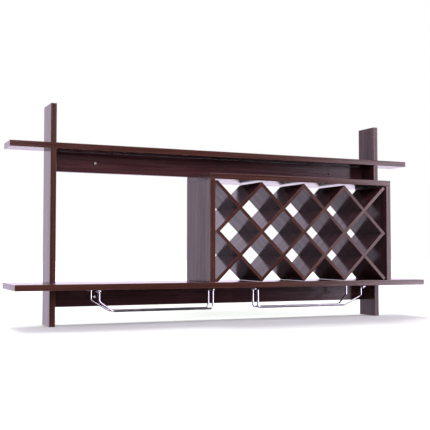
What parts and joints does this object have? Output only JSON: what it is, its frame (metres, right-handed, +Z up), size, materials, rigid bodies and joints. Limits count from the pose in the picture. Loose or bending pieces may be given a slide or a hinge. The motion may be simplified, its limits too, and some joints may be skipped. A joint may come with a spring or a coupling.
{
  "type": "wall wine rack",
  "caption": "Wall-hung wine rack: crossing uprights and shelves, a diamond bottle lattice in a box, and wire stemware holders under the lower shelf.",
  "frame": {"origin": "centre of the upper wall rail's back face, on the wall plane", "axes": "+Y into the wall, +X to the right along the shelves as seen from the room, +Z up"},
  "size_m": [1.206, 0.15, 0.562],
  "materials": {
    "espresso_board": "dark espresso foil on fibreboard, satin gloss",
    "espresso_slat": "dark espresso foil on thin fibreboard, satin gloss",
    "bright_wire": "bright chromed steel wire",
    "plated_steel": "zinc-plated steel",
    "zinc_casting": "die-cast zinc",
    "beech_dowel": "bare fluted beech"
  },
  "bodies": {
    "root": {"bar_screw_left": "plated_steel", "bar_screw_right": "plated_steel", "box_dowel_left_back": "beech_dowel", "box_dowel_left_front": "beech_dowel", "box_dowel_right_back": "beech_dowel", "box_dowel_right_front": "beech_dowel", "box_screw_left_back": "plated_steel", "box_screw_left_front": "plated_steel", "box_screw_right_back": "plated_steel", "box_screw_right_front": "plated_steel", "box_side_left": "espresso_board", "box_side_right": "espresso_board", "box_top": "espresso_board", "cam_bolt_lower_left": "plated_steel", "cam_bolt_lower_right": "plated_steel", "cam_bolt_upper_left": "plated_steel", "cam_bolt_upper_right": "plated_steel", "cam_lock_lower_left": "zinc_casting", "cam_lock_lower_right": "zinc_casting", "cam_lock_upper_left": "zinc_casting", "cam_lock_upper_right": "zinc_casting", "eyelet_screw_left_back": "plated_steel", "eyelet_screw_left_front": "plated_steel", "eyelet_screw_right_back": "plated_steel", "eyelet_screw_right_front": "plated_steel", "lower_shelf": "espresso_board", "rail_dowel_lower_left": "beech_dowel", "rail_dowel_lower_right": "beech_dowel", "rail_dowel_upper_left": "beech_dowel", "rail_dowel_upper_right": "beech_dowel", "slat_fall_1": "espresso_slat", "slat_fall_2": "espresso_slat", "slat_fall_3": "espresso_slat", "slat_fall_4": "espresso_slat", "slat_fall_5": "espresso_slat", "slat_rise_1": "espresso_slat", "slat_rise_2": "espresso_slat", "slat_rise_3": "espresso_slat", "slat_rise_4": "espresso_slat", "slat_rise_5": "espresso_slat", "stem_holder_left": "bright_wire", "stem_holder_right": "bright_wire", "upper_shelf": "espresso_board", "upright_left": "espresso_board", "upright_right": "espresso_board", "wall_rail_lower": "espresso_board", "wall_rail_upper": "espresso_board"}
  },
  "joints": []
}
